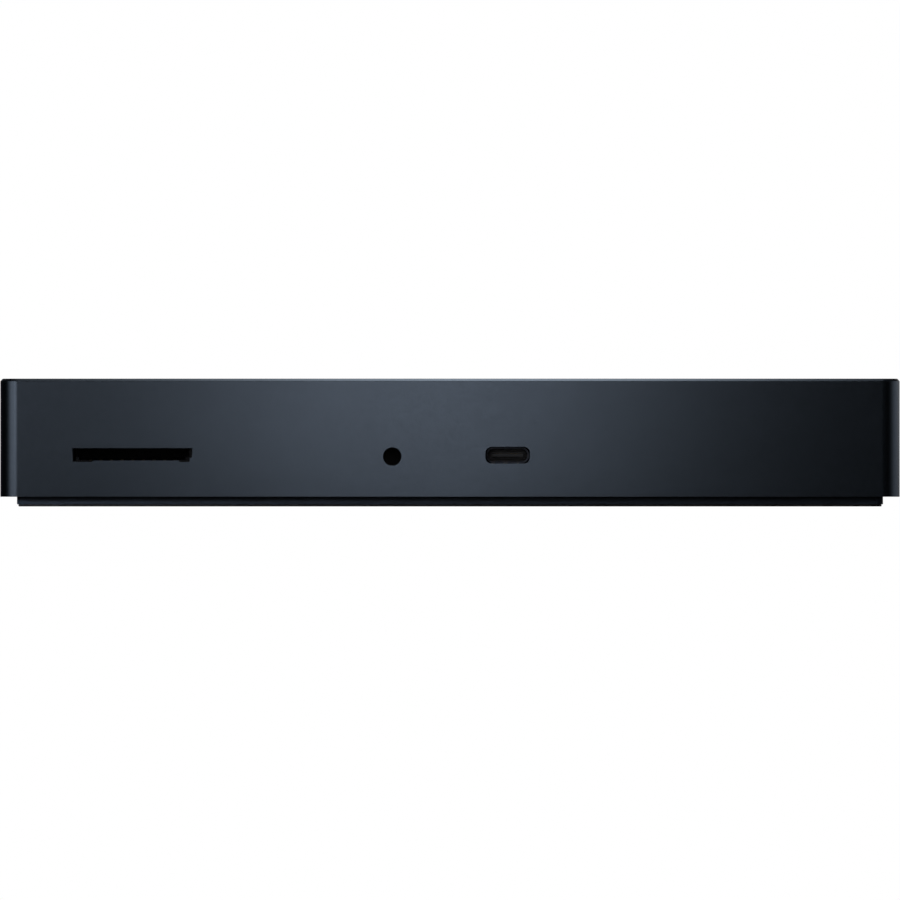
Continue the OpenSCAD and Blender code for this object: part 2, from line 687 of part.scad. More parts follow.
// x = 0, z = 0 is the centre of the opening
module a_shell() difference() {
  along_y(0, 0, 0, 14.4) rounded_rect(13.1, 5.72, 0.45);
  along_y(0, 0, -1, 13.9) rounded_rect(12.5, 5.12, 0.2);
  // spring fingers: U cuts in the top and bottom
  for (sx = [-1, 1], sz = [-1, 1]) {
    z0 = sz * 2.7 - 0.5;
    z1 = sz * 2.7 + 0.5;
    for (edge = [-1, 1]) slab([sx * 3 + edge * 1.2, 5.25], [0.3, 6.5], z0, z1);
    slab([sx * 3, 1.9], [2.7, 0.4], z0, z1);
  }
}
module a_tongue() {
  block([-5.6, 0.9, 0.05], [5.6, 13.8, 1.9]);
  block([-6.2, 11.6, -2.5], [6.2, 13.8, 2.5]);
}
// Four contacts in the front row, five behind
module a_contacts() {
  for (x = [-3.5, -1, 1, 3.5]) block([x - 0.5, 2.2, -0.12], [x + 0.5, 8.4, 0.05]);
  for (x = [-4:2:4]) block([x - 0.35, 9.2, -0.3], [x + 0.35, 11.5, 0.05]);
}
module rear_a() for (x = rear_a_x) rear_port(x, usba_z) children();
module usb_a_shells() color([0.6, 0.61, 0.63]) rear_a() a_shell();
module usb_a_tongues() color(dark_plastic) rear_a() a_tongue();
module usb_a_contacts() color(gold) rear_a() a_contacts();

// ---------- network port ----------

// z is measured from the table
lan_half_w = 8;
lan_l = 21.1;
lan_top = 22.4;
lan_sheet = 0.28;    // thickness of the shield
lan_fit = 0.3;       // from the shield's outside to the body

function lan_wire_x(i) = (i - 3.5) * 1.02;

module lan() rear_port(lan_x, 0) children();

// Box as wide as the port, its sides, ends and top moved in by inset
module lan_box(inset, z0)
  block([inset - lan_half_w, inset, z0], [lan_half_w - inset, lan_l - inset, lan_top - inset]);

// Stepped opening for the plug and its latch
module lan_cavity(y0, y1) {
  block([-5.9, y0, 13.3], [5.9, y1, 20.4]);
  block([-3.15, y0, 11.6], [3.15, y1, 13.4]);
  block([-2.0, y0, 10.4], [2.0, y1, 11.7]);
}
// The two places of the lights, under the opening's shoulders
module lan_lights(y0, y1, gap = 0)
  for (sx = [-1, 1])
    block([sx * 5.2 - 1.25 + gap, y0, 10.5 + gap], [sx * 5.2 + 1.25 - gap, y1, 12.4 - gap]);

module ethernet_body() color(dark_plastic) lan() difference() {
  lan_box(lan_fit, board_top + 0.05);
  lan_cavity(-1, 14);
  lan_lights(-1, 6);
  // comb that the contact wires lie in
  for (i = [0:7]) slab([lan_wire_x(i), 7.5], [0.6, 9], 20.2, 21.2);
}
module ethernet_shield() color([0.68, 0.69, 0.7]) lan() difference() {
  lan_box(0, board_top);
  lan_box(lan_sheet, board_top - 1);
  lan_cavity(-1, 1);
  lan_lights(-1, 1);
}
module ethernet_contacts() color(gold) lan()
  for (i = [0:7]) translate([lan_wire_x(i) - 0.22, 3.2, 0]) {
    translate([0, 0, 20.75]) cube([0.44, 8.6, 0.35]);
    translate([0, 0, 20.1]) cube([0.44, 0.5, 0.7]);
  }
module ethernet_light_pipes() color([0.8, 0.85, 0.7]) lan() lan_lights(0.1, 5.9, gap = 0.05);

// ---------- power port ----------

// x = 0, z = 0 is the axis of the barrel
pin_r = 1.25;
pin_tip_l = 0.4;

module dc() rear_port(dc_x, dc_z) children();
module power_jack_body() color(dark_plastic) dc() difference() {
  union() {
    block([-4.5, 0, board_top - dc_z], [4.5, 14, 4.5]);
    bar_y(0, 0, 3.9, -0.7, 1);
  }
  bar_y(0, 0, 2.85, -2, 10);
  // seat for the spring under the barrel
  block([-1.4, 1.2, -3.7], [1.4, 9.4, 0]);
}
module power_jack_pin() color([0.8, 0.8, 0.78]) dc() {
  bar_y(0, 0, pin_r, pin_tip_l, 10);
  translate([0, pin_tip_l, 0]) rotate([90, 0, 0])
    cylinder(r1 = pin_r, r2 = 0.9, h = pin_tip_l, $fn = 48);
}
module power_jack_spring() color([0.8, 0.78, 0.7]) dc()
  block([-1.2, 1.4, -3.6], [1.2, 9.2, -3.25]);

housing();
foot_pad();
light_guide();
base_cover();
base_screws();
insulator_sheet();
main_board();
board_screws();
hub_controller();
logic_chips();
controller_thermal_pad();
heat_spreader();
heat_spreader_screws();
roof_thermal_pad();
shield_frame();
shield_can();
power_inductors();
polymer_capacitors();
power_transistors();
chip_parts();
crystals();
network_transformer();
led_header();
led_cable();
led_boards();
leds();
sd_socket_base();
sd_socket_cover();
sd_contacts();
sd_slider();
sd_slider_spring();
sd_lock_rod();
audio_jack_body();
audio_jack_contacts();
front_usb_c_shell();
front_usb_c_tongue();
front_usb_c_contacts();
rear_usb_c_shells();
rear_usb_c_tongues();
rear_usb_c_contacts();
usb_a_shells();
usb_a_tongues();
usb_a_contacts();
ethernet_shield();
ethernet_body();
ethernet_contacts();
ethernet_light_pipes();
power_jack_body();
power_jack_pin();
power_jack_spring();
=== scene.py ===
"""A flat aluminium dock: housing, rubber pad, light guide ring, base and connectors, on a stage.

+Z is up and the floor is at z = 0. The front faces -Y, the rear +Y and the left end -X.
Meshes are drawn in millimetres and stored in metres. Materials, lights and camera are in metres.
"""

import json
import math

import bmesh
import bpy
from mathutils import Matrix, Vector

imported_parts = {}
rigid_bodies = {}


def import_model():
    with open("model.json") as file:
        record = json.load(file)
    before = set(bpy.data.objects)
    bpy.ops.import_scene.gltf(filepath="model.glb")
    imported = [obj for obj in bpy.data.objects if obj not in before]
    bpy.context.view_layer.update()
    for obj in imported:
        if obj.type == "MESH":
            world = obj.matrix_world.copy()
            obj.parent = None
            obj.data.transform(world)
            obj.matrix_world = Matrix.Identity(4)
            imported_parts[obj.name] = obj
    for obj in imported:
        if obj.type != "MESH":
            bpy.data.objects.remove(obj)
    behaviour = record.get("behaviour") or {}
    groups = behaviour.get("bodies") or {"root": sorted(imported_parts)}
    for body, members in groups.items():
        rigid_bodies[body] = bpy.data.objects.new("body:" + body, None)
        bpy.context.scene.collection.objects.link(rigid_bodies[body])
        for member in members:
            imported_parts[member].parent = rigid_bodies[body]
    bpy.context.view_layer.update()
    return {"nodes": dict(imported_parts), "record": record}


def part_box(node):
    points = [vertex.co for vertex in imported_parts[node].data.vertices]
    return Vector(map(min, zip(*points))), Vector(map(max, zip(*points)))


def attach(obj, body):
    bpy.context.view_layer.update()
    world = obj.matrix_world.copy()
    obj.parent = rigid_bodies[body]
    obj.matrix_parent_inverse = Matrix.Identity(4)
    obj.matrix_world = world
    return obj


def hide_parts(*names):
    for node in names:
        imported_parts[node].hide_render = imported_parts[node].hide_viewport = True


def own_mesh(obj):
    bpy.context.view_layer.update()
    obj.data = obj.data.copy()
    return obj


MM = 0.001

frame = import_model()
cad_parts = frame["nodes"]
BODY_OF = {n: b for b, ns in frame["record"]["behaviour"]["bodies"].items() for n in ns}
SLOT_OF = {s["node"]: s["material_slot"] for s in frame["record"]["subparts"]}


def box_mm(node):
    """The low and high corners of a CAD piece, in mm."""
    return [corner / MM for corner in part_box(node)]


# ---------------------------------------------------------------- sizes, in mm

HOUSING_LOW, HOUSING_HIGH = box_mm("housing")
FRONT, REAR = HOUSING_LOW.y, HOUSING_HIGH.y
WIDTH, DEPTH = HOUSING_HIGH.x - HOUSING_LOW.x, HOUSING_HIGH.y - HOUSING_LOW.y
RIM, TOP = HOUSING_LOW.z, HOUSING_HIGH.z
CORNER = 3.8
WALL, ROOF = 2.2, 2.1
SKIN = 0.9                      # wall left where it is thinned behind the connectors

# connector openings: x along the face, z up it
CARD_X = -67.23
CARD_SHIFT = (0.16, -0.11)      # offset of the card opening, x and z
JACK_X, JACK_Z, JACK_RADIUS = -12.18, 10.53, 1.88
FRONT_USB_C_X, USB_C_Z = 12.2, 10.81
REAR_USB_C_X = (24, 39, 54)
REAR_USB_A_X, USB_A_Z = (-62, -43, -24), 12.3
ETHERNET_X, ETHERNET_Z = 2.0, 15.75
POWER_X, POWER_Z, POWER_RADIUS = 72.0, 15.6, 4.05
SIDE_SLOT_Y, SIDE_SLOT_Z = 14, 13

# screw posts under the roof: (x, y) of each
COVER_TOP, BOARD_TOP = 4.1, 9.1
COVER_POSTS = ((-82, 24), (-11.7, 24), (82, 24), (-44, -24), (25, -24), (82, -24))
BOARD_POSTS = ((-87, 6), (87, 2), (-34, -29.5), (50, -29.5), (-74, 27), (63, 28))
POST_RADIUS, HOLE_RADIUS = 3.0, 1.27

# edge rounding of the pieces taken from the CAD
ROUNDINGS = {
    "base_cover": 0.12, "base_screws": 0.06,
    "sd_socket_base": 0.07, "sd_socket_cover": 0.05, "sd_contacts": 0.03, "sd_slider": 0.05,
    "audio_jack_body": 0.08, "audio_jack_contacts": 0.03,
    "front_usb_c_shell": 0.05, "front_usb_c_tongue": 0.06, "front_usb_c_contacts": 0.015,
    "rear_usb_c_shells": 0.05, "rear_usb_c_tongues": 0.06, "rear_usb_c_contacts": 0.015,
    "usb_a_shells": 0.05, "usb_a_tongues": 0.12, "usb_a_contacts": 0.03,
    "ethernet_shield": 0.05, "ethernet_body": 0.10, "ethernet_contacts": 0.04,
    "ethernet_light_pipes": 0.08,
    "power_jack_body": 0.10, "power_jack_pin": 0.06, "power_jack_spring": 0.04,
}
USB_C_CONTACT_FLATTENING = 0.89


# ---------------------------------------------------------------- shader tree

class Tree:
    """Short calls for building a shader node tree."""

    def __init__(self, tree):
        self.tree = tree
        tree.nodes.clear()

    def node(self, kind, **props):
        node = self.tree.nodes.new(kind)
        for name, value in props.items():
            setattr(node, name, value)
        return node

    def link(self, source, socket):
        self.tree.links.new(source, socket)

    def put(self, socket, value):
        """Links a socket or sets a value. An RGB triple gets alpha 1 on a colour socket."""
        if isinstance(value, bpy.types.NodeSocket):
            self.link(value, socket)
            return
        if isinstance(value, tuple) and len(value) == 3 and len(socket.default_value) == 4:
            value = (*value, 1.0)
        socket.default_value = value

    def math(self, operation, a, b=None, clamp=False):
        node = self.node("ShaderNodeMath", operation=operation, use_clamp=clamp)
        self.put(node.inputs[0], a)
        if b is not None:
            self.put(node.inputs[1], b)
        return node.outputs[0]

    def add(self, a, b):
        return self.math("ADD", a, b)

    def mul(self, a, b, clamp=False):
        return self.math("MULTIPLY", a, b, clamp)

    def plus(self, a, b, share):
        """a + b * share"""
        return self.add(a, self.mul(b, share))

    def remap(self, value, span, to, kind="LINEAR"):
        """Maps the span (from, to) of a value onto another, clamped."""
        node = self.node("ShaderNodeMapRange", interpolation_type=kind, clamp=True)
        for socket, v in zip(node.inputs, (value, *span, *to)):
            self.put(socket, v)
        return node.outputs[0]

    def fade(self, value, start, end, to=(0.0, 1.0)):
        """An eased step."""
        return self.remap(value, (start, end), to, "SMOOTHSTEP")

    def spread(self, noise, low, high):
        """Stretches the busy middle of a noise over low to high."""
        return self.remap(noise, (0.3, 0.7), (low, high))

    def mix(self, factor, a, b):
        node = self.node("ShaderNodeMix", data_type="RGBA")
        self.put(node.inputs[0], factor)
        self.put(node.inputs[6], a)
        self.put(node.inputs[7], b)
        return node.outputs[2]

    def scale_color(self, color, factor):
        node = self.node("ShaderNodeVectorMath", operation="SCALE")
        self.put(node.inputs[0], color)
        self.put(node.inputs[3], factor)
        return node.outputs[0]

    def dot(self, a, b):
        node = self.node("ShaderNodeVectorMath", operation="DOT_PRODUCT")
        self.put(node.inputs[0], a)
        self.put(node.inputs[1], b)
        return node.outputs["Value"]

    def noise(self, place, size, detail=2.0, rough=0.5):
        """Noise with features of about the given size in metres."""
        node = self.node("ShaderNodeTexNoise")
        self.link(place, node.inputs["Vector"])
        node.inputs["Scale"].default_value = 1 / size
        node.inputs["Detail"].default_value = detail
        node.inputs["Roughness"].default_value = rough
        return node.outputs["Fac"]

    def voronoi(self, place, size, feature="F1", output="Distance"):
        node = self.node("ShaderNodeTexVoronoi", feature=feature)
        self.link(place, node.inputs["Vector"])
        node.inputs["Scale"].default_value = 1 / size
        return node.outputs[output]

    def coords(self, stretch=(1, 1, 1)):
        """Object coordinates; a factor below 1 draws the texture out along that axis."""
        place = self.node("ShaderNodeTexCoord").outputs["Object"]
        if stretch == (1, 1, 1):
            return place
        mapping = self.node("ShaderNodeMapping")
        mapping.inputs["Scale"].default_value = stretch
        self.link(place, mapping.inputs["Vector"])
        return mapping.outputs["Vector"]

    def xyz(self, vector):
        node = self.node("ShaderNodeSeparateXYZ")
        self.link(vector, node.inputs[0])
        return node.outputs

    def bump(self, height, depth, strength):
        node = self.node("ShaderNodeBump")
        node.inputs["Strength"].default_value = strength
        node.inputs["Distance"].default_value = depth
        self.link(height, node.inputs["Height"])
        return node.outputs[0]

    def edge_mask(self, radius, gain):
        """Rises along edges within radius, and is 0 on open faces."""
        bevel = self.node("ShaderNodeBevel", samples=4)
        bevel.inputs["Radius"].default_value = radius
        geometry = self.node("ShaderNodeNewGeometry")
        alignment = self.dot(bevel.outputs[0], geometry.outputs["Normal"])
        return self.mul(self.math("SUBTRACT", 1.0, alignment), gain, clamp=True)

    def surface(self, base, rough, height, depth, strength=0.6, metallic=0.0, coat=0.0,
                coat_rough=0.2, specular=0.5, anisotropic=0.0, transmission=0.0):
        """The finished surface: height, depth and strength make its bump."""
        shader = self.node("ShaderNodeBsdfPrincipled")
        for name, value in (
            ("Base Color", base), ("Metallic", metallic), ("Roughness", rough), ("IOR", 1.5),
            ("Coat Weight", coat), ("Coat Roughness", coat_rough),
            ("Specular IOR Level", specular), ("Anisotropic", anisotropic),
            ("Transmission Weight", transmission),
            ("Normal", self.bump(height, depth, strength)),
        ):
            self.put(shader.inputs[name], value)
        self.output(shader.outputs[0])

    def emission(self, color, strength):
        node = self.node("ShaderNodeEmission")
        self.put(node.inputs[0], color)
        self.put(node.inputs[1], strength)
        return node.outputs[0]

    def background(self, color, strength):
        node = self.node("ShaderNodeBackground")
        self.put(node.inputs[0], color)
        self.put(node.inputs[1], strength)
        return node.outputs[0]

    def transparent(self):
        return self.node("ShaderNodeBsdfTransparent").outputs[0]

    def add_shaders(self, a, b):
        node = self.node("ShaderNodeAddShader")
        self.link(a, node.inputs[0])
        self.link(b, node.inputs[1])
        return node.outputs[0]

    def mix_shaders(self, factor, a, b):
        node = self.node("ShaderNodeMixShader")
        for socket, source in zip(node.inputs, (factor, a, b)):
            self.link(source, socket)
        return node.outputs[0]

    def output(self, shader, kind="ShaderNodeOutputMaterial"):
        self.link(shader, self.node(kind).inputs[0])


def new_material(name):
    material = bpy.data.materials.new(name)
    material.use_nodes = True
    return material, Tree(material.node_tree)


# ---------------------------------------------------------------- materials
# Each paint function builds one surface in the tree t. Feature sizes and depths are in metres.

def paint_anodised(t):
    """Bead-blasted, dark blue-grey anodised aluminium, a little worn on the edges."""
    place = t.coords()
    blast = t.noise(place, size=0.00011, detail=3.0, rough=0.62)
    pits = t.voronoi(place, size=0.00016)
    cloud = t.noise(place, size=0.011, detail=4.0, rough=0.55)
    fine = t.noise(place, size=0.0006)
    edge = t.edge_mask(radius=0.00035, gain=2.6)
    patches = t.noise(place, size=0.0022, detail=3.0, rough=0.6)
    worn = t.mul(edge, t.remap(patches, (0.42, 0.68), to=(0.15, 1.0)))
    tone = t.add(t.spread(cloud, 0.972, 1.028), t.remap(blast, (0.2, 0.8), to=(-0.022, 0.022)))
    blue_grey, bare = (0.0570, 0.0715, 0.0920), (0.155, 0.175, 0.200)
    base = t.mix(t.mul(worn, 0.28), t.scale_color(blue_grey, tone), bare)
    rough = t.plus(t.remap(fine, (0.25, 0.75), to=(0.285, 0.325)), worn, share=-0.04)
    height = t.plus(t.mul(blast, 0.7), pits, share=0.5)
    t.surface(base, rough, height, depth=0.0000032, strength=0.55, metallic=1.0)


def paint_rubber(t):
    """Matt black rubber with pale dust."""
    place = t.coords()
    cell = t.voronoi(place, size=0.00032)
    grain = t.noise(place, size=0.00012, detail=3.0, rough=0.6)
    dust = t.noise(place, size=0.006, detail=4.0, rough=0.6)
    black, dusty = (0.0125, 0.0125, 0.0135), (0.027, 0.027, 0.028)
    base = t.mix(t.remap(dust, (0.5, 0.8), to=(0.0, 0.35)), black, dusty)
    height = t.plus(cell, grain, share=0.6)
    rough = t.spread(grain, 0.62, 0.80)
    t.surface(base, rough, height, depth=0.00003, strength=0.5, specular=0.2)


def paint_diffuser(t):
    """Smoked plastic, satin outside."""
    place = t.coords()
    grain = t.noise(place, size=0.00014)
    cloud = t.noise(place, size=0.004, detail=3.0)
    base = t.scale_color((0.0150, 0.0205, 0.0295), t.spread(cloud, 0.92, 1.08))
    rough = t.spread(grain, 0.46, 0.56)
    t.surface(base, rough, grain, depth=0.000004, strength=0.5, specular=0.12)


def paint_plastic(t, base, rough, grain, depth, speck, coat=0.0, specular=0.5):
    """Moulded plastic with a spark-eroded grain. speck is the unevenness of its colour."""
    place = t.coords()
    texture = t.voronoi(place, size=grain, feature="SMOOTH_F1")
    fine = t.noise(place, size=grain * 0.5, rough=0.55)
    cloud = t.noise(place, size=0.005, detail=3.0)
    tone = t.add(t.spread(cloud, 1 - speck * 0.5, 1 + speck * 0.5),
                 t.spread(fine, -speck * 0.3, speck * 0.3))
    color = t.scale_color(base, tone)
    height = t.plus(texture, fine, share=0.5)
    t.surface(color, t.spread(fine, rough - 0.06, rough + 0.06), height, depth=depth,
              coat=coat, specular=specular)


def paint_metal(t, base, rough, size, stretch=(1, 1, 1), depth=0.000002, tarnish=0.15,
                dark=None, anisotropic=0.0, edge=0.0):
    """Metal with drawing marks of a given size along one direction, tarnished towards dark.

    edge is how far a painted highlight brightens the edges."""
    lines = t.noise(t.coords(stretch), size=size, detail=3.0, rough=0.6)
    place = t.coords()
    stain = t.noise(place, size=0.0035, detail=4.0, rough=0.6)
    fine = t.noise(place, size=0.00012)
    dark = dark or tuple(c * 0.55 for c in base)
    stained = t.remap(stain, (0.45, 0.8), to=(0.0, 1.0))
    color = t.mix(t.mul(stained, tarnish * 2), base, dark)
    color = t.scale_color(color, t.remap(lines, (0.25, 0.75), to=(0.93, 1.07)))
    # painted highlight: the edges are lightened in the colour itself
    if edge:
        edge_highlight_color = tuple(min(1.0, c * 1.5) for c in base)
        color = t.mix(t.mul(t.edge_mask(radius=0.00015, gain=2.5), edge), color, edge_highlight_color)
    roughness = t.add(t.remap(lines, (0.25, 0.75), to=(rough - 0.05, rough + 0.07)),
                      t.remap(stain, (0.4, 0.8), to=(0.0, 0.08)))
    height = t.plus(lines, fine, share=0.4)
    t.surface(color, roughness, height, depth=depth, metallic=1.0, anisotropic=anisotropic)


def paint_board(t):
    """Dark solder mask over copper tracks, with tinned vias."""
    place = t.coords()
    wide = t.voronoi(t.coords((1, 1.6, 0.0)), size=0.0030, feature="DISTANCE_TO_EDGE")
    wide_tracks = t.fade(wide, 0.055, 0.085, to=(1.0, 0.0))
    narrow = t.voronoi(t.coords((1.7, 1, 0.0)), size=0.0011, feature="DISTANCE_TO_EDGE")
    narrow_tracks = t.fade(narrow, 0.07, 0.12, to=(1.0, 0.0))
    narrow_area = t.remap(t.noise(place, size=0.016), (0.48, 0.52), to=(0.0, 1.0))
    tracks = t.math("MAXIMUM", wide_tracks, t.mul(narrow_tracks, narrow_area))
    via_distance = t.voronoi(t.coords((1, 1, 0.0)), size=0.0019)
    vias = t.remap(via_distance, (0.09, 0.11), to=(1.0, 0.0))
    mask = t.mix(tracks, (0.0055, 0.0150, 0.0115), (0.012, 0.036, 0.026))
    weave = t.noise(place, size=0.0004)
    tin = (0.42, 0.40, 0.33)
    color = t.mix(vias, t.scale_color(mask, t.spread(weave, 0.9, 1.1)), tin)
    height = t.plus(t.mul(tracks, 1.0), weave, share=0.25)
    t.surface(color, t.spread(weave, 0.30, 0.42), height, depth=0.00003, strength=0.7,
              metallic=t.mul(vias, 0.9), coat=0.25)


def paint_capacitor(t):
    """Drawn can on a black base, which ends at z = 10 mm."""
    place = t.coords()
    black_base = t.remap(t.xyz(place)[2], (0.00998, 0.01002), to=(1.0, 0.0))
    brushed = t.noise(t.coords((1, 1, 0.06)), size=0.00022)
    speck = t.noise(place, size=0.0002)
    can = t.scale_color((0.60, 0.61, 0.64), t.spread(brushed, 0.9, 1.1))
    color = t.mix(black_base, can, (0.016, 0.016, 0.017))
    rough = t.plus(t.spread(speck, 0.26, 0.36), black_base, share=0.25)
    metallic = t.math("SUBTRACT", 1.0, black_base)
    t.surface(color, rough, t.add(brushed, speck), depth=0.000004, metallic=metallic)


def paint_wires(t):
    """Four wires side by side along x, each its own colour."""
    x = t.xyz(t.coords())[0]
    first_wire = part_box("led_cable")[0].x + 0.0004
    red, green = (0.34, 0.02, 0.016), (0.018, 0.16, 0.03)
    blue, black = (0.02, 0.05, 0.27), (0.012, 0.012, 0.012)
    ramp = t.node("ShaderNodeValToRGB")
    ramp.color_ramp.interpolation = "CONSTANT"
    stops = ramp.color_ramp.elements
    for i, color in enumerate((red, green, blue, black)):
        stop = stops[i] if i < 2 else stops.new(i / 4)
        stop.position = i / 4
        stop.color = (*color, 1)
    cable = (first_wire - 0.0007, first_wire + 0.0049)
    t.link(t.remap(x, cable, to=(0.0, 1.0)), ramp.inputs[0])
    grain = t.noise(t.coords((1, 0.15, 0.15)), size=0.00015)
    color = t.scale_color(ramp.outputs[0], t.spread(grain, 0.92, 1.08))
    rough = t.spread(grain, 0.34, 0.46)
    t.surface(color, rough, grain, depth=0.000006, strength=0.5, coat=0.1)


def paint_lamp(t):
    """White moulded package, warm yellow below z = 0.88 mm."""
    place = t.coords()
    grain = t.noise(place, size=0.0003)
    low = t.remap(t.xyz(place)[2], (0.00086, 0.00090), to=(1.0, 0.0))
    color = t.mix(low, (0.80, 0.80, 0.76), (0.86, 0.66, 0.18))
    t.surface(t.scale_color(color, t.spread(grain, 0.94, 1.05)), t.spread(grain, 0.22, 0.34),
              grain, depth=0.000006, strength=0.5, coat=0.3)


def paint_ceramic(t):
    """Small fired parts, some tan and some dark."""
    place = t.coords()
    grain = t.noise(place, size=0.00012, detail=3.0, rough=0.6)
    cell_color = t.voronoi(t.coords((1, 1, 0)), size=0.0026, output="Color")
    channels = t.node("ShaderNodeSeparateColor")
    t.link(cell_color, channels.inputs[0])
    choice = t.remap(channels.outputs[0], (0.45, 0.55), to=(0.0, 1.0))
    color = t.mix(choice, (0.40, 0.29, 0.18), (0.055, 0.052, 0.050))
    t.surface(t.scale_color(color, t.spread(grain, 0.9, 1.1)), t.spread(grain, 0.4, 0.55),
              grain, depth=0.000008, strength=0.5)


def paint_pipe(t):
    """Pale, partly clear plastic."""
    grain = t.noise(t.coords(), size=0.0005)
    color = t.scale_color((0.70, 0.74, 0.62), t.spread(grain, 0.95, 1.04))
    t.surface(color, t.spread(grain, 0.16, 0.26), grain, depth=0.000006, strength=0.5,
              coat=0.3, transmission=0.35)


# material slot, paint function, its settings
SLOT_LOOKS = (
    ("anodised_aluminium", paint_anodised, {}),
    ("pad_rubber", paint_rubber, {}),
    ("smoked_diffuser", paint_diffuser, {}),
    ("cover_plastic", paint_plastic, dict(
        base=(0.0150, 0.0158, 0.0170), rough=0.55, grain=0.00030, depth=0.000016, speck=0.1)),
    ("connector_plastic", paint_plastic, dict(
        base=(0.0036, 0.0040, 0.0052), rough=0.46, grain=0.00014, depth=0.000006, speck=0.14,
        specular=0.10)),
    ("ivory_plastic", paint_plastic, dict(
        base=(0.72, 0.67, 0.54), rough=0.42, grain=0.00016, depth=0.000006, speck=0.06)),
    ("black_screw_steel", paint_metal, dict(
        base=(0.060, 0.060, 0.066), rough=0.36, stretch=(1, 1, 0.2), size=0.0003, edge=0.5)),
    ("zinc_steel", paint_metal, dict(
        base=(0.56, 0.57, 0.60), rough=0.28, stretch=(1, 1, 0.2), size=0.0003)),
    ("black_nickel_steel", paint_metal, dict(
        base=(0.030, 0.033, 0.041), rough=0.32, stretch=(1, 0.06, 1), size=0.00016,
        depth=0.0000022, tarnish=0.10, anisotropic=0.2, edge=0.15)),
    ("connector_steel", paint_metal, dict(
        base=(0.50, 0.50, 0.51), rough=0.27, stretch=(1, 0.06, 1), size=0.00016,
        depth=0.0000022, tarnish=0.12, anisotropic=0.2, edge=0.4)),
    ("spring_steel", paint_metal, dict(base=(0.52, 0.53, 0.55), rough=0.22, size=0.00012)),
    ("contact_gold", paint_metal, dict(
        base=(0.46, 0.34, 0.16), rough=0.33, stretch=(1, 0.08, 1), size=0.00008,
        depth=0.0000015, tarnish=0.10, dark=(0.36, 0.22, 0.09))),
    ("tinned_brass", paint_metal, dict(
        base=(0.66, 0.64, 0.58), rough=0.26, stretch=(1, 0.1, 1), size=0.00015, edge=0.3)),
    ("tinned_sheet", paint_metal, dict(
        base=(0.63, 0.63, 0.61), rough=0.33, stretch=(0.12, 1, 1), size=0.00025,
        depth=0.000003, tarnish=0.2)),
    ("spreader_aluminium", paint_metal, dict(
        base=(0.68, 0.69, 0.71), rough=0.38, stretch=(1, 0.04, 1), size=0.00025,
        depth=0.000004, tarnish=0.12)),
    ("board_laminate", paint_board, {}),
    ("chip_resin", paint_plastic, dict(
        base=(0.020, 0.020, 0.022), rough=0.5, grain=0.00010, depth=0.000005, speck=0.2)),
    ("ferrite", paint_plastic, dict(
        base=(0.085, 0.085, 0.092), rough=0.55, grain=0.00022, depth=0.00002, speck=0.35)),
    ("capacitor_can", paint_capacitor, {}),
    ("ceramic_chip", paint_ceramic, {}),
    ("thermal_pad", paint_plastic, dict(
        base=(0.30, 0.36, 0.46), rough=0.78, grain=0.00045, depth=0.00003, speck=0.12)),
    ("insulator_film", paint_plastic, dict(
        base=(0.010, 0.010, 0.011), rough=0.22, grain=0.0012, depth=0.00002, speck=0.1,
        coat=0.3)),
    ("white_laminate", paint_plastic, dict(
        base=(0.78, 0.78, 0.75), rough=0.36, grain=0.0004, depth=0.000006, speck=0.05,
        coat=0.2)),
    ("led_lens", paint_lamp, {}),
    ("wire_insulation", paint_wires, {}),
    ("light_pipe", paint_pipe, {}),
)


def make_look(name, paint, **settings):
    material, tree = new_material("look_" + name)
    paint(tree, **settings)
    return material


LOOKS = {slot: make_look(slot, paint, **settings) for slot, paint, settings in SLOT_LOOKS}

# the USB-C tongues are a smoother grey-black than the other mouldings
TONGUE = make_look("usb_c_tongue", paint_plastic, base=(0.0080, 0.0096, 0.0130), rough=0.38,
                   grain=0.00016, depth=0.000004, speck=0.12, specular=0.22)


def look_of(node):
    if node in ("front_usb_c_tongue", "rear_usb_c_tongues"):
        return TONGUE
    return LOOKS[SLOT_OF[node]]


for part_name, part in cad_parts.items():
    part.data.materials.clear()
    part.data.materials.append(look_of(part_name))


# ---------------------------------------------------------------- mesh helpers, in mm

def rectangle(x0, y0, x1, y1):
    return [(x0, y0), (x1, y0), (x1, y1), (x0, y1)]


def rounded_rect(width, depth, radius, steps):
    """Rounded rectangle about the origin, anticlockwise, with so many steps a corner."""
    x, y = width / 2 - radius, depth / 2 - radius
    points = []
    for cx, cy, start in ((x, -y, -90), (x, y, 0), (-x, y, 90), (-x, -y, 180)):
        for i in range(steps + 1):
            a = math.radians(start + 90 * i / steps)
            points.append((cx + radius * math.cos(a), cy + radius * math.sin(a)))
    return points


def inset_ring(width, depth, inset, radius, z, steps):
    """A level rounded rectangle, drawn in from a width and depth by the inset."""
    outline = rounded_rect(width - 2 * inset, depth - 2 * inset, radius, steps)
    return [(x, y, z) for x, y in outline]


def circle(radius, sides, cx, cy):
    angles = [2 * math.pi * i / sides for i in range(sides)]
    return [(cx + radius * math.cos(a), cy + radius * math.sin(a)) for a in angles]


def moved(outline, across, up):
    return [(p[0] + across, p[1] + up) for p in outline]


def loft(bm, rings, closed=False):
    """Quads between rings of equal length; closed joins the last to the first, else capped."""
    loops = [[bm.verts.new(Vector(p) * MM) for p in ring] for ring in rings]
    count = len(loops[0])
    following = loops[1:] + loops[:1] if closed else loops[1:]
    for a, b in zip(loops, following):
        for i in range(count):
            j = (i + 1) % count
            bm.faces.new((a[i], a[j], b[j], b[i]))
    if not closed:
        bm.faces.new(list(reversed(loops[0])))
        bm.faces.new(loops[-1])


def add_prism(bm, outline, low, high, axis="z"):
    """A closed prism between two heights along the axis, its outline lying across it."""
    def place(p, h):
        return {"x": (h, p[0], p[1]), "y": (p[0], h, p[1]), "z": (p[0], p[1], h)}[axis]
    loft(bm, [[place(p, h) for p in outline] for h in (low, high)])


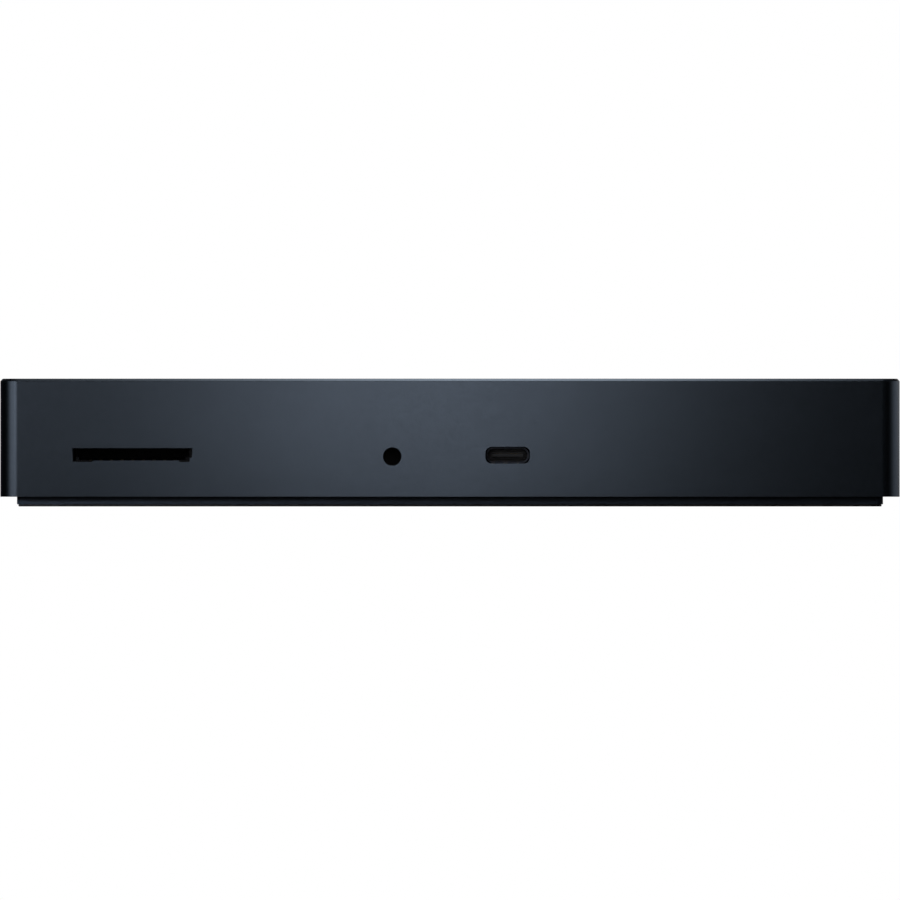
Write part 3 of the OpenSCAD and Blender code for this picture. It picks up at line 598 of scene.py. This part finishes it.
def link_object(bm, name):
    mesh = bpy.data.meshes.new(name)
    bm.to_mesh(mesh)
    bm.free()
    obj = bpy.data.objects.new(name, mesh)
    bpy.context.scene.collection.objects.link(obj)
    return obj


def to_object(bm, name, slot=None):
    bmesh.ops.recalc_face_normals(bm, faces=bm.faces)
    obj = link_object(bm, name)
    if slot:
        obj.data.materials.append(LOOKS[slot])
    return obj


def boolean(obj, prisms, operation="DIFFERENCE"):
    """Cuts or joins prisms, each given as the arguments of add_prism."""
    bm = bmesh.new()
    for prism in prisms:
        add_prism(bm, *prism)
    tool = to_object(bm, "tool")
    modifier = obj.modifiers.new("cut", "BOOLEAN")
    modifier.object = tool
    modifier.operation = operation
    modifier.solver = "EXACT"
    bpy.context.view_layer.update()
    depsgraph = bpy.context.evaluated_depsgraph_get()
    mesh = bpy.data.meshes.new_from_object(obj.evaluated_get(depsgraph))
    obj.modifiers.clear()
    old = obj.data
    obj.data = mesh
    bpy.data.meshes.remove(old)
    bpy.data.objects.remove(tool)


def tidy(bm):
    """Merges the mesh into whole flat faces."""
    bmesh.ops.remove_doubles(bm, verts=bm.verts, dist=2e-7)
    bmesh.ops.dissolve_degenerate(bm, edges=bm.edges, dist=1e-7)
    bmesh.ops.dissolve_limit(bm, angle_limit=math.radians(0.2), use_dissolve_boundaries=False,
                             verts=bm.verts, edges=bm.edges)
    bm.normal_update()


def crisp_edges(bm, degrees):
    limit = math.radians(degrees)
    return [e for e in bm.edges if len(e.link_faces) == 2 and e.calc_face_angle(0) > limit]


def bevel_edges(bm, edges, width, segments):
    if edges:
        bmesh.ops.bevel(bm, geom=edges, offset=width * MM, offset_type="OFFSET",
                        segments=segments, profile=0.5, affect="EDGES",
                        clamp_overlap=True, loop_slide=True)


def shade(obj, sharp=32.0, weighted=True):
    """Smooth shading, with edges above the sharp angle kept and flat faces kept flat."""
    bm = bmesh.new()
    bm.from_mesh(obj.data)
    for face in bm.faces:
        face.smooth = True
    for e in bm.edges:
        e.smooth = len(e.link_faces) == 2 and e.calc_face_angle(0) < math.radians(sharp)
    bm.to_mesh(obj.data)
    bm.free()
    if weighted:
        modifier = obj.modifiers.new("normals", "WEIGHTED_NORMAL")
        modifier.keep_sharp = True
        modifier.mode = "FACE_AREA_WITH_ANGLE"
        modifier.weight = 100


def adopt(obj, node):
    """Puts an object in the place of a CAD piece."""
    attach(obj, BODY_OF[node])
    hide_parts(node)


def refine(node, width):
    """A finer copy of a CAD piece, with every edge rounded a little."""
    bm = bmesh.new()
    bm.from_mesh(cad_parts[node].data)
    tidy(bm)
    bevel_edges(bm, crisp_edges(bm, 28.0), width, segments=2)
    bmesh.ops.remove_doubles(bm, verts=bm.verts, dist=1e-7)
    bmesh.ops.dissolve_degenerate(bm, edges=bm.edges, dist=1e-7)
    piece = link_object(bm, node + "_piece")
    piece.data.materials.append(look_of(node))
    shade(piece)
    adopt(piece, node)
    return piece


# ---------------------------------------------------------------- housing

def card_outline():
    """The stepped card slot, as (x, z) anticlockwise from its lower left."""
    width, bottom, top = 25.2, 9.55, 12.34
    left = CARD_X - width / 2
    right = CARD_X + width / 2
    return [
        (left, bottom), (left + 4.0, bottom), (left + 4.45, bottom + 0.31),
        (right - 2.85, bottom + 0.31), (right - 2.6, bottom), (right - 0.5, bottom),
        (right - 0.5, 10.43), (right, 10.43), (right, top), (left, top),
    ]


def opening_prisms():
    """The connector openings, front then rear, and the slot in the left end."""
    usb_c = rounded_rect(9.3, 3.42, 1.3, 14)
    usb_a = rounded_rect(13.5, 6.1, 0.5, 8)
    front = [
        moved(card_outline(), *CARD_SHIFT),
        circle(JACK_RADIUS, 72, JACK_X, JACK_Z),
        moved(usb_c, FRONT_USB_C_X, USB_C_Z),
    ]
    rear = [moved(usb_c, x, USB_C_Z) for x in REAR_USB_C_X]
    rear += [moved(usb_a, x, USB_A_Z) for x in REAR_USB_A_X]
    rear += [
        moved(rounded_rect(13.6, 11.8, 0.6, 8), ETHERNET_X, ETHERNET_Z),
        circle(POWER_RADIUS, 96, POWER_X, POWER_Z),
    ]
    side = moved(rounded_rect(7, 3, 0.6, 10), SIDE_SLOT_Y, SIDE_SLOT_Z)
    prisms = [(outline, FRONT - 1, FRONT + WALL + 0.5, "y") for outline in front]
    prisms += [(outline, REAR - WALL - 0.5, REAR + 1, "y") for outline in rear]
    return prisms + [(side, -WIDTH / 2 - 1, -WIDTH / 2 + WALL + 1, "x")]


def opening_edges(bm):
    """Crisp edges lying in the front, rear or left face, clear of the rim and the top."""
    edges = []
    crisp = crisp_edges(bm, 35)
    for axis, face in ((1, FRONT), (1, REAR), (0, -WIDTH / 2)):
        for edge in crisp:
            ends = [v.co / MM for v in edge.verts]
            if all(abs(p[axis] - face) < 0.003 and RIM + 1 < p.z < TOP - 1 for p in ends):
                edges.append(edge)
    return edges


def build_housing():
    # (inset, z) up the outside, from the rim to the chamfered top edge
    profile = [
        (0.05, RIM), (0.025, RIM + 0.008), (0.008, RIM + 0.025), (0.0, RIM + 0.05),
        (0.0, TOP - 0.61), (0.012, TOP - 0.55), (0.050, TOP - 0.48),
        (0.430, TOP - 0.065), (0.495, TOP - 0.02), (0.57, TOP),
    ]
    bm = bmesh.new()
    loft(bm, [inset_ring(WIDTH, DEPTH, inset, CORNER - inset, z, 28) for inset, z in profile])
    body = to_object(bm, "housing_body", "anodised_aluminium")

    below = RIM - 1
    cavity = rounded_rect(WIDTH - 2 * WALL, DEPTH - 2 * WALL, 1.4, 8)
    boolean(body, [(cavity, below, TOP - ROOF)])
    # thin the front and rear walls behind the connectors
    boolean(body, [(rectangle(-84, FRONT + SKIN, 20, 0), below, 14.6)])
    boolean(body, [(rectangle(-71.5, 0, 79.5, REAR - SKIN), below, 23)])
    boolean(body, opening_prisms())

    # (x, y, foot of the post, depth of its hole)
    posts = [(x, y, COVER_TOP, 6.5) for x, y in COVER_POSTS]
    posts += [(x, y, BOARD_TOP, 6.0) for x, y in BOARD_POSTS]
    boolean(body, [(circle(POST_RADIUS, 40, x, y), foot, TOP - ROOF + 0.3)
                   for x, y, foot, _ in posts], "UNION")
    boolean(body, [(circle(HOLE_RADIUS, 28, x, y), foot - 1, foot + depth)
                   for x, y, foot, depth in posts])

    bm = bmesh.new()
    bm.from_mesh(body.data)
    tidy(bm)
    bevel_edges(bm, opening_edges(bm), 0.11, segments=3)
    bm.to_mesh(body.data)
    bm.free()
    shade(body, 33)
    adopt(body, "housing")


# ---------------------------------------------------------------- pad, light guide and spring

def build_pad():
    """Rubber pad: rounded lower edge and a groove round the underside."""
    low, high = box_mm("foot_pad")
    width, depth, top = high.x - low.x, high.y - low.y, high.z - low.z
    corner, groove_inset = 1.2, 5.7
    # (inset, z) down the outside
    outside = [
        (0.10, top), (0.03, top - 0.03), (0.0, top - 0.10), (0.0, 0.14),
        (0.03, 0.055), (0.09, 0.012), (0.16, 0.0),
    ]
    # (inset from the groove's outer edge, z, corner radius) across the groove
    groove = [
        (-0.05, 0.0, 2.2), (0.0, 0.02, 2.2), (0.04, 0.13, 2.2), (0.10, 0.15, 2.2),
        (0.90, 0.15, 1.6), (0.96, 0.13, 1.6), (1.0, 0.02, 1.6), (1.05, 0.0, 1.6),
    ]
    stations = [(inset, z, corner - inset) for inset, z in outside]
    stations += [(groove_inset + inset, z, radius) for inset, z, radius in groove]
    bm = bmesh.new()
    loft(bm, [inset_ring(width, depth, inset, radius, z, 12) for inset, z, radius in stations])
    pad = to_object(bm, "rubber_foot_pad", "pad_rubber")
    shade(pad, 40)
    adopt(pad, "foot_pad")


def build_guide():
    """Light guide ring with rounded edges."""
    low, high = box_mm("light_guide")
    band, outer_corner, inner_corner = 3.0, 1.3, 0.8
    # (inset, z) round the section: up the outside, across the top and down the inside
    section = [
        (0.11, low.z), (0.03, low.z + 0.03), (0.0, low.z + 0.11),
        (0.0, high.z - 0.09), (0.025, high.z - 0.03), (0.09, high.z),
        (2.94, high.z), (band, high.z - 0.06), (band, low.z + 0.05), (2.95, low.z),
    ]
    rings = []
    for inset, z in section:
        radius = outer_corner - inset if inset < 1 else inner_corner + (band - inset)
        rings.append(inset_ring(high.x - low.x, high.y - low.y, inset, radius, z, 14))
    bm = bmesh.new()
    loft(bm, rings, closed=True)
    guide = to_object(bm, "light_guide_ring", "smoked_diffuser")
    shade(guide, 40)
    adopt(guide, "light_guide")


def build_spring():
    """Return spring of the card slider, along y, of round wire with closed ends."""
    low, high = box_mm("sd_slider_spring")
    cx, cz = (low.x + high.x) / 2, (low.z + high.z) / 2
    wire, coil = 0.095, 0.435           # radii
    start, end = low.y + wire + 0.005, high.y - wire - 0.005
    turns, steps_a_turn, wire_sides = 12.0, 30, 10
    steps = int(turns * steps_a_turn)
    end_share = 1.1 / turns             # share of the turns closed up at each end
    end_pitch = 2.1 * wire / (end - start)
    end_length = end_pitch * end_share * turns

    def length_share(s):
        """Share of the length reached after share s of the turns."""
        if s < end_share:
            return end_pitch * s * turns
        if s > 1 - end_share:
            return 1 - end_pitch * (1 - s) * turns
        open_length = 1 - end_length - end_length
        return end_length + open_length * (s - end_share) / (1 - 2 * end_share)

    path = []
    for i in range(steps + 1):
        s = i / steps
        a = 2 * math.pi * turns * s
        y = start + (end - start) * length_share(s)
        path.append(Vector((cx + coil * math.cos(a), y, cz + coil * math.sin(a))))
    rings = []
    for i, p in enumerate(path):
        tangent = (path[min(steps, i + 1)] - path[max(0, i - 1)]).normalized()
        out = Vector((p.x - cx, 0, p.z - cz)).normalized()
        side = tangent.cross(out).normalized()
        out = side.cross(tangent).normalized()
        angles = [2 * math.pi * j / wire_sides for j in range(wire_sides)]
        rings.append([p + (out * math.cos(a) + side * math.sin(a)) * wire for a in angles])
    bm = bmesh.new()
    loft(bm, rings)
    spring = to_object(bm, "slider_spring_coil", "spring_steel")
    shade(spring, 50, weighted=False)
    adopt(spring, "sd_slider_spring")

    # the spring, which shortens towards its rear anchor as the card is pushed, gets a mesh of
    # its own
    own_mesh(spring)


def flatten(piece, share):
    """Scales a piece's height about its middle."""
    heights = [v.co.z for v in piece.data.vertices]
    middle = (min(heights) + max(heights)) / 2
    for v in piece.data.vertices:
        v.co.z = middle + (v.co.z - middle) * share


build_housing()
build_pad()
build_guide()
build_spring()
for node_name, rounding in ROUNDINGS.items():
    refined = refine(node_name, rounding)
    if node_name.endswith("usb_c_contacts"):
        # moulded almost flush with the tongue
        flatten(refined, USB_C_CONTACT_FLATTENING)


# ---------------------------------------------------------------- stage, in metres

def camera_axis(t):
    """The way the camera looks, in world axes."""
    node = t.node("ShaderNodeVectorTransform", vector_type="VECTOR", convert_from="CAMERA",
                  convert_to="WORLD")
    node.inputs[0].default_value = (0, 0, 1)
    return t.xyz(node.outputs[0])


def looking(t, axis, start, full):
    """0 to 1 as the camera turns to look along a world axis: "+y", "-x", or "z" either way.

    start and full are cosines."""
    along = camera_axis(t)["xyz".index(axis[-1])]
    if len(axis) == 1:
        along = t.math("ABSOLUTE", along)
    elif axis[0] == "-":
        along = t.mul(along, -1.0)
    return t.fade(along, start, full)


def quieter_head_on(t, strength, share):
    """Cuts a strength to a share for a camera square on to the front."""
    head_on = looking(t, "+y", start=0.93, full=0.99)
    return t.mul(strength, t.remap(head_on, (0.0, 1.0), to=(1.0, share)))


def evenly(*shares):
    """A light profile with its shares at even places from 0 to 1."""
    return [(i / (len(shares) - 1), share) for i, share in enumerate(shares)]


def profile_strength(t, profile, radiance):
    """Radiance across a panel, read from the profile by the panel's UV map."""
    across = t.xyz(t.node("ShaderNodeUVMap", uv_map="place").outputs[0])[0]
    ramp = t.node("ShaderNodeValToRGB")
    ramp.color_ramp.interpolation = "LINEAR"
    peak = max(share for _, share in profile)
    stops = ramp.color_ramp.elements
    while len(stops) < len(profile):
        stops.new(0.5)
    for stop, (place, share) in zip(stops, profile):
        grey = share / peak
        stop.position = place
        stop.color = (grey, grey, grey, 1)
    t.link(across, ramp.inputs[0])
    return t.mul(ramp.outputs[0], radiance * peak)


def card(name, centre, target, width, height, radiance, color=(1, 1, 1), profile=None,
         look=None, on=1.0, off=0.0, receivers=None):
    """A soft light panel at centre, facing target, that the camera doesn't see.

    profile lists (place across the width, share of radiance). look is (axis, start, full) as in
    looking(): the strength goes from off to on as the camera turns that way. receivers is the
    collection it lights or leaves out."""
    centre = Vector(centre)
    facing = (Vector(target) - centre).normalized()
    up = Vector((0, 0, 1)) if abs(facing.z) < 0.95 else Vector((0, 1, 0))
    right = facing.cross(up).normalized()
    up = right.cross(facing).normalized()
    corners = [centre + right * (sx * width / 2) + up * (sy * height / 2)
               for sx, sy in ((-1, -1), (1, -1), (1, 1), (-1, 1))]
    mesh = bpy.data.meshes.new(name)
    mesh.from_pydata([tuple(p) for p in corners], [], [(3, 2, 1, 0)])
    uv = mesh.uv_layers.new(name="place")
    mesh.update()
    if mesh.polygons[0].normal.dot(facing) < 0:
        mesh.flip_normals()
    for loop in mesh.loops:
        p = mesh.vertices[loop.vertex_index].co - centre
        uv.data[loop.index].uv = (p.dot(right) / width + 0.5, p.dot(up) / height + 0.5)
    panel = bpy.data.objects.new(name, mesh)
    bpy.context.scene.collection.objects.link(panel)

    material, t = new_material("light_" + name)
    strength = profile_strength(t, profile, radiance) if profile else radiance
    if look:
        strength = t.mul(strength, t.remap(looking(t, *look), (0.0, 1.0), to=(off, on)))
    # light passes through a panel, so panels may overlap
    glow = t.emission(color, strength)
    clear = t.transparent()
    lit = t.add_shaders(glow, clear)
    back = t.node("ShaderNodeNewGeometry").outputs["Backfacing"]
    t.output(t.mix_shaders(back, lit, clear))
    mesh.materials.append(material)
    panel.visible_camera = False
    panel.visible_shadow = False
    if receivers:
        panel.light_linking.receiver_collection = receivers
    return panel


def receiver_set(name, objects, state):
    """Pieces for a panel to light (INCLUDE) or to leave out (EXCLUDE)."""
    collection = bpy.data.collections.new(name)
    for obj in objects:
        collection.objects.link(obj)
    for item in collection.collection_objects:
        item.light_linking.link_state = state
    return collection


def build_floor():
    half = 12.0
    mesh = bpy.data.meshes.new("floor")
    corners = rectangle(-half, -half, half, half)
    mesh.from_pydata([(x, y, 0) for x, y in corners], [], [(0, 1, 2, 3)])
    obj = bpy.data.objects.new("floor", mesh)
    obj.location.z = -0.00002
    bpy.context.scene.collection.objects.link(obj)

    material, t = new_material("stage_floor")
    camera_ray = t.node("ShaderNodeLightPath").outputs["Is Camera Ray"]
    incoming = t.node("ShaderNodeNewGeometry").outputs["Incoming"]
    steep = t.math("ABSOLUTE", t.dot(incoming, (0, 0, 1)))
    # seen by the camera: pure white at grazing angles, pale with a soft shadow from above
    diffuse = t.node("ShaderNodeBsdfDiffuse")
    t.put(diffuse.inputs[0], (0.50, 0.50, 0.505))
    pale = t.add_shaders(diffuse.outputs[0], t.emission((1, 1, 1), strength=0.46))
    white = t.emission((1, 1, 1), strength=1.0)
    grazing = t.fade(steep, 0.10, 0.22, to=(1.0, 0.0))
    seen = t.mix_shaders(grazing, pale, white)
    # seen by the object: a quieter floor, darker at grazing angles
    glow = t.fade(steep, 0.10, 0.55, to=(0.20, 0.64))
    mirrored = t.emission((0.93, 0.97, 1.0), quieter_head_on(t, glow, share=0.042))
    both = t.mix_shaders(camera_ray, mirrored, seen)
    # to a camera below it, the floor isn't there
    from_camera = t.node("ShaderNodeTexCoord").outputs["Camera"]
    up = t.node("ShaderNodeVectorTransform", vector_type="VECTOR", convert_from="WORLD",
                convert_to="CAMERA")
    up.inputs[0].default_value = (0, 0, 1)
    below = t.math("GREATER_THAN", t.dot(from_camera, up.outputs[0]), 0.0)
    t.output(t.mix_shaders(below, both, t.transparent()))
    mesh.materials.append(material)
    return obj


def build_world():
    """White to the camera, and a soft uneven light to everything else."""
    world = bpy.data.worlds.new("studio")
    bpy.context.scene.world = world
    world.use_nodes = True
    t = Tree(world.node_tree)
    camera_ray = t.node("ShaderNodeLightPath").outputs["Is Camera Ray"]
    x, y, z = t.xyz(t.node("ShaderNodeTexCoord").outputs["Generated"])
    overhead = t.fade(z, 0.25, 0.95)
    rear = t.mul(t.fade(y, 0.15, 0.9), t.fade(z, -0.1, 0.5, to=(1.0, 0.55)))
    low = t.fade(z, -0.25, -0.02, to=(1.0, 0.0))
    base_level = 0.05
    strength = t.plus(base_level, overhead, share=0.55)
    strength = t.plus(strength, rear, share=0.45)
    strength = t.plus(strength, low, share=0.6)
    # a band ahead of the camera, that the top mirrors at a shallow look
    look = camera_axis(t)
    ahead = t.add(t.mul(x, look[0]), t.mul(y, look[1]))
    strength = t.plus(strength, t.fade(ahead, 0.3, 0.95), share=0.10)
    white = t.background((1, 1, 1), 1.0)
    soft = t.background((0.94, 0.97, 1.0), quieter_head_on(t, strength, share=0.1))
    t.output(t.mix_shaders(camera_ray, soft, white), "ShaderNodeOutputWorld")


floor = build_floor()
build_world()
# the front lights leave out the floor, and the card contacts deep in the slot
not_floor = receiver_set(
    "not_the_floor", [floor, bpy.data.objects["sd_contacts_piece"]], "EXCLUDE")
plinth = receiver_set(
    "plinth", [bpy.data.objects[n] for n in ("light_guide_ring", "rubber_foot_pad")], "INCLUDE")

FRONT_TINT = (1.018, 1.0, 1.005)
FRONT_LIGHT_Y, FRONT_LIGHT_Z = -0.2375, 0.062
BODY_FRONT_Y = -0.0375
FAN_X = 0.095                   # the fans turn about points this far to each side
FAN_STEP = math.radians(10)

# the main softbox, close in front of the body; its shares lie at elevenths of the width
KEY_SHARES = (0.0, 1.05, 2.12, 1.72, 0.26, 0.0, 0.0, 0.0, 0.05, 0.0)
card("front_key", centre=(0.03, FRONT_LIGHT_Y, FRONT_LIGHT_Z), target=(0.03, 0, FRONT_LIGHT_Z),
     width=0.33, height=0.13, radiance=1.0, color=FRONT_TINT,
     profile=[(0.0, 0.0)] + [(i / 11, share) for i, share in enumerate(KEY_SHARES, 2)],
     look=("+y", -0.2, 0.4), receivers=not_floor)
# its wing, past the left end, for the square-on view
card("front_wing", centre=(-0.150, FRONT_LIGHT_Y, FRONT_LIGHT_Z),
     target=(-0.150, 0, FRONT_LIGHT_Z), width=0.09, height=0.13, radiance=1.0,
     color=FRONT_TINT, profile=evenly(0.0, 2.50, 1.15, 0.0), look=("+y", 0.97, 0.999),
     receivers=not_floor)


def fan(side, strips, pivot_x, distance, z, target_z, height, look):
    """Overlapping strips about a pivot, off when the camera looks that way.

    strips lists (degrees from the front, positive to the left, radiance)."""
    for angle, radiance in strips:
        a = math.radians(angle)
        centre = (pivot_x - distance * math.sin(a), BODY_FRONT_Y - distance * math.cos(a), z)
        card("%s_%d" % (side, abs(angle)), centre, target=(pivot_x, BODY_FRONT_Y, target_z),
             width=2 * distance * FAN_STEP, height=height, radiance=radiance,
             color=FRONT_TINT, profile=evenly(0.0, 1.0, 0.0), look=look, on=0.0, off=1.0,
             receivers=not_floor)


# to the front left, drawing the line down the left corner
fan("left", ((10, 0.28), (20, 1.03), (30, 1.84), (40, 2.25), (50, 1.77), (60, 0.66)),
    pivot_x=-FAN_X, distance=0.62, z=0.10, target_z=0.02, height=0.42, look=("-x", 0.6, 0.95))
# to the right, reaching behind
fan("right", ((-60, 0.12), (-70, 0.37), (-80, 0.71), (-90, 0.95), (-100, 1.06),
              (-110, 1.03), (-120, 0.93), (-130, 0.79), (-140, 0.64), (-150, 0.45)),
    pivot_x=FAN_X, distance=0.6, z=0.09, target_z=0.015, height=0.34, look=("+x", 0.6, 0.95))
# overhead softbox, quieter when looked at from above
card("top_box", centre=(0.0, BODY_FRONT_Y, 0.25), target=(0.0, BODY_FRONT_Y, 0),
     width=0.24, height=0.12, radiance=1.2, color=(1.0, 0.965, 0.92),
     profile=evenly(0.3, 0.2, 1.9, 4.7, 3.6, 0.1, 0.0), look=("z", 0.25, 0.6), on=0.25, off=1.0)
# a low strip at the front left, that lifts only the pad and the light guide
wash = card("plinth_wash", centre=(-0.17, -0.135, 0.030), target=(-0.06, -0.034, 0.001),
            width=0.10, height=0.02, radiance=36.0, color=(0.93, 1.0, 1.09),
            look=("+y", 0.97, 0.999), receivers=plinth)
wash.visible_glossy = False
# wide panels for the sides and the rear, brightest when those are looked at
card("left_fill", centre=(-0.75, 0.02, 0.16), target=(0, 0.02, 0.012), width=0.5, height=0.42,
     radiance=1.0, profile=[(0.0, 0.3), (0.4, 1.0), (0.75, 0.55), (1.0, 0.2)],
     look=("+x", 0.2, 0.8))
card("right_fill", centre=(0.75, 0.02, 0.16), target=(0, 0.02, 0.012), width=0.5, height=0.42,
     radiance=1.0, profile=[(0.0, 0.2), (0.35, 0.6), (0.7, 1.0), (1.0, 0.3)],
     look=("-x", 0.2, 0.8))
card("rear_key", centre=(0.02, 0.70, 0.20), target=(0.0, 0.0375, 0.012), width=0.9, height=0.5,
     radiance=1.5, profile=[(0.0, 0.25), (0.25, 0.7), (0.55, 1.0), (0.8, 0.6), (1.0, 0.3)],
     look=("-y", -0.3, 0.4), on=1.0, off=0.3)


# ---------------------------------------------------------------- camera and view

CAMERA_DISTANCE, CAMERA_HEIGHT = 4.2216, 0.01193    # from the front face; above the floor


def build_camera():
    """A long lens, square on to the front."""
    lens = bpy.data.cameras.new("camera")
    lens.type = "PERSP"
    lens.sensor_fit = "HORIZONTAL"
    lens.sensor_width = 36.0
    lens.lens = 800.0
    lens.clip_start = 0.05
    lens.clip_end = 60.0
    camera = bpy.data.objects.new("camera", lens)
    camera.location = (0.0, FRONT * MM - CAMERA_DISTANCE, CAMERA_HEIGHT)
    camera.rotation_euler = (math.pi / 2, 0, 0)
    bpy.context.scene.collection.objects.link(camera)
    bpy.context.scene.camera = camera


build_camera()
view = bpy.context.scene.view_settings
view.view_transform = "Standard"
view.look = "None"
view.exposure = 0.0
view.gamma = 1.0
